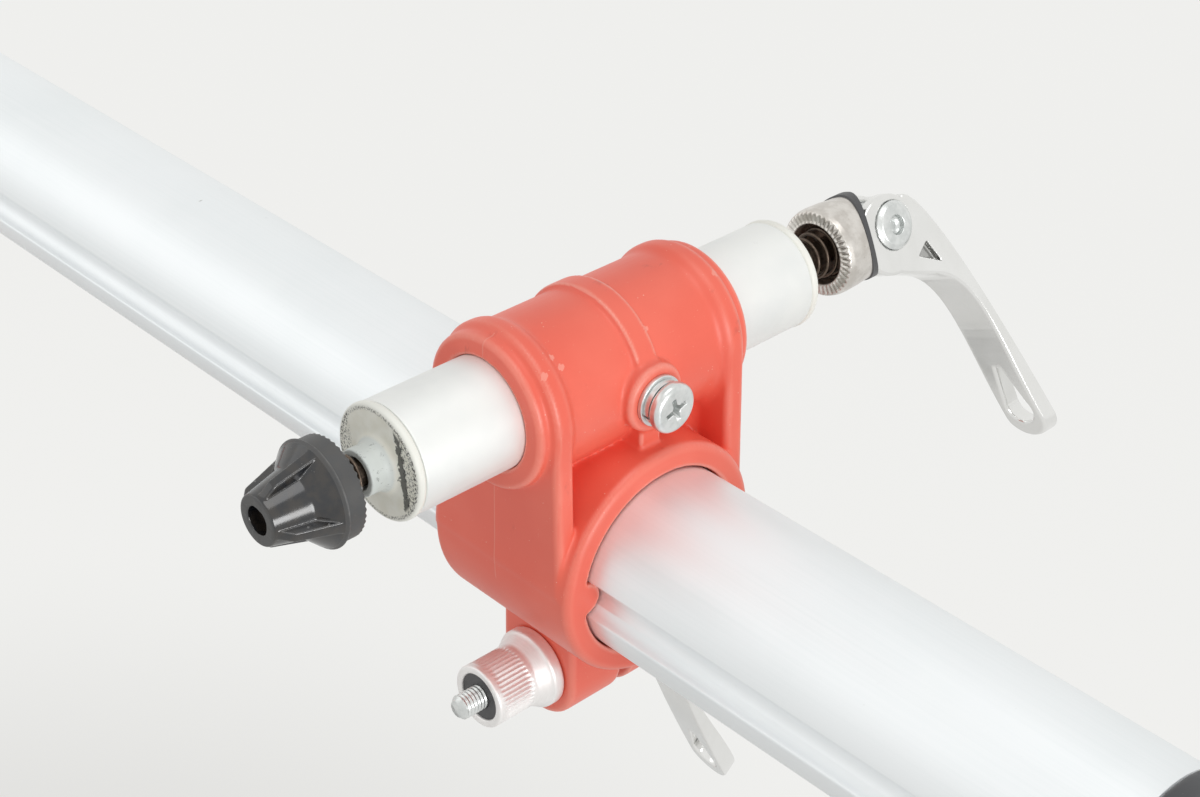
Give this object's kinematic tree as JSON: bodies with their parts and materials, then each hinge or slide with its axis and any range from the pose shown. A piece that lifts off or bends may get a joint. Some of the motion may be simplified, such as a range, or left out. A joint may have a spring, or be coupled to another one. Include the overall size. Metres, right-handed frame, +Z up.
{
  "type": "bicycle repair stand",
  "caption": "Folding tripod stand whose beam carries a sliding quick-release fork mount in front and a bottom bracket cradle with a screw-down hook over the mast.",
  "frame": {"origin": "middle of the bounding box at floor level", "axes": "+X along the beam to its front end, +Y to the side of the cam levers, +Z up"},
  "size_m": [1.2166, 0.8352, 1.032],
  "materials": {
    "red_plastic": "moulded red plastic, soft gloss",
    "beam_anodised": "satin clear anodised tube",
    "tube_anodised": "satin anodised tube",
    "hub_steel": "satin steel",
    "cream_nylon": "cream nylon with scuffs",
    "zinc_steel": "zinc plated",
    "cup_steel": "plated steel, a little rusty",
    "spring_steel": "spring steel, browned",
    "lever_alloy": "polished alloy",
    "nut_alloy": "knurled alloy",
    "black_gloss": "glossy black",
    "black_plastic": "matt black plastic",
    "black_rubber": "black rubber",
    "hook_chrome": "bright plated rod",
    "brass": "turned brass"
  },
  "bodies": {
    "stand": {"outer_mast": "tube_anodised", "outer_mast_cap": "black_plastic", "mast_bush": "black_plastic", "mast_collar": "red_plastic", "collar_bolt": "zinc_steel", "collar_cam_pin": "zinc_steel", "collar_cam_seat": "black_plastic", "crown": "red_plastic", "leg_pins": "zinc_steel"},
    "leg_1": {"leg_1": "tube_anodised", "leg_knuckle_1": "black_plastic", "foot_1": "black_rubber"},
    "leg_2": {"leg_2": "tube_anodised", "leg_knuckle_2": "black_plastic", "foot_2": "black_rubber"},
    "leg_3": {"leg_3": "tube_anodised", "leg_knuckle_3": "black_plastic", "foot_3": "black_rubber"},
    "mast": {"inner_mast": "tube_anodised", "mast_plug": "black_plastic", "mast_guide": "black_plastic", "swivel_bolt": "zinc_steel"},
    "head": {"head_body": "red_plastic", "cradle_body": "red_plastic", "cradle_pads": "black_rubber", "head_bolts": "zinc_steel", "swivel_bush": "black_plastic", "swivel_insert": "brass", "beam": "beam_anodised", "beam_front_cap": "black_plastic", "beam_rear_cap": "black_plastic"},
    "hook": {"hook_rod": "hook_chrome", "hook_sleeve": "black_rubber"},
    "hook_knob": {"hook_knob": "black_plastic", "hook_knob_insert": "brass"},
    "swivel_knob": {"swivel_knob": "black_plastic", "swivel_knob_stud": "zinc_steel"},
    "slider": {"slider_body": "red_plastic", "hub_tube": "hub_steel", "hub_end_plugs": "cream_nylon", "hub_screw": "zinc_steel", "hub_screw_washers": "zinc_steel"},
    "clamp_skewer": {"clamp_bolt": "zinc_steel", "clamp_cam_pin": "zinc_steel", "clamp_cam_seat": "black_plastic"},
    "clamp_lever": {"clamp_lever": "lever_alloy"},
    "clamp_nut": {"clamp_nut": "nut_alloy", "clamp_nut_insert": "black_plastic"},
    "fork_skewer": {"fork_skewer_rod": "spring_steel", "fork_cam_pin": "zinc_steel", "fork_cam_cup": "cup_steel", "fork_cam_washer": "black_plastic", "fork_springs": "spring_steel"},
    "fork_lever": {"fork_lever": "lever_alloy"},
    "fork_nut": {"fork_nut": "black_gloss"},
    "collar_lever": {"collar_lever": "lever_alloy"},
    "collar_nut": {"collar_nut": "nut_alloy"}
  },
  "joints": [
    {"name": "leg_1_fold", "type": "hinge", "parent": "stand", "child": "leg_1", "pos_m": [-0.10668, 0.03637, 0.33], "axis": [-0.866, 0.5, 0], "range_deg": [0, 48]},
    {"name": "leg_2_fold", "type": "hinge", "parent": "stand", "child": "leg_2", "pos_m": [-0.16968, 0, 0.33], "axis": [0, -1, 0], "range_deg": [0, 48]},
    {"name": "leg_3_fold", "type": "hinge", "parent": "stand", "child": "leg_3", "pos_m": [-0.10668, -0.03637, 0.33], "axis": [0.866, 0.5, 0], "range_deg": [0, 48]},
    {"name": "mast_slide", "type": "slide", "parent": "stand", "child": "mast", "axis": [0, 0, 1], "range_m": [-0.15, 0.17]},
    {"name": "head_swivel", "type": "hinge", "parent": "mast", "child": "head", "pos_m": [-0.12768, 0, 0.84], "axis": [0, 0, 1], "continuous": true},
    {"name": "swivel_knob_turn", "type": "hinge", "parent": "head", "child": "swivel_knob", "pos_m": [-0.12768, -0.04, 0.862], "axis": [0, -1, 0], "range_deg": [-90, 1080]},
    {"name": "hook_knob_turn", "type": "hinge", "parent": "head", "child": "hook_knob", "pos_m": [-0.16768, 0, 0.905], "axis": [0, 0, -1], "range_deg": [0, 7200]},
    {"name": "hook_lift", "type": "slide", "parent": "head", "child": "hook", "axis": [0, 0, 1], "range_m": [0, 0.025]},
    {"name": "slider_slide", "type": "slide", "parent": "head", "child": "slider", "axis": [1, 0, 0], "range_m": [-0.52, 0.111]},
    {"name": "clamp_skewer_turn", "type": "hinge", "parent": "slider", "child": "clamp_skewer", "pos_m": [0.47232, 0, 0.9103], "axis": [0, 1, 0], "range_deg": [-100, 100]},
    {"name": "clamp_lever_close", "type": "hinge", "parent": "clamp_skewer", "child": "clamp_lever", "pos_m": [0.47232, 0.02536, 0.9103], "axis": [0.9976, 0, -0.0698], "range_deg": [0, 120]},
    {"name": "clamp_nut_turn", "type": "hinge", "parent": "clamp_skewer", "child": "clamp_nut", "pos_m": [0.47232, -0.02, 0.9103], "axis": [0, 1, 0], "continuous": true},
    {"name": "fork_skewer_turn", "type": "hinge", "parent": "slider", "child": "fork_skewer", "pos_m": [0.47232, 0, 0.9742], "axis": [0, 1, 0], "continuous": true},
    {"name": "fork_lever_open", "type": "hinge", "parent": "fork_skewer", "child": "fork_lever", "pos_m": [0.47232, 0.0789, 0.9742], "axis": [0.9063, 0, 0.4226], "range_deg": [-15, 125]},
    {"name": "fork_nut_turn", "type": "hinge", "parent": "fork_skewer", "child": "fork_nut", "pos_m": [0.47232, -0.07, 0.9742], "axis": [0, 1, 0], "continuous": true},
    {"name": "collar_lever_open", "type": "hinge", "parent": "stand", "child": "collar_lever", "pos_m": [-0.09168, 0.02536, 0.638], "axis": [1, 0, 0], "range_deg": [0, 145]},
    {"name": "collar_nut_turn", "type": "hinge", "parent": "stand", "child": "collar_nut", "pos_m": [-0.09168, -0.02, 0.638], "axis": [0, 1, 0], "continuous": true}
  ],
  "couplings": [
    {"joint": "hook_knob_turn", "follows": "hook_lift", "rad_per_m": 5026.5}
  ]
}
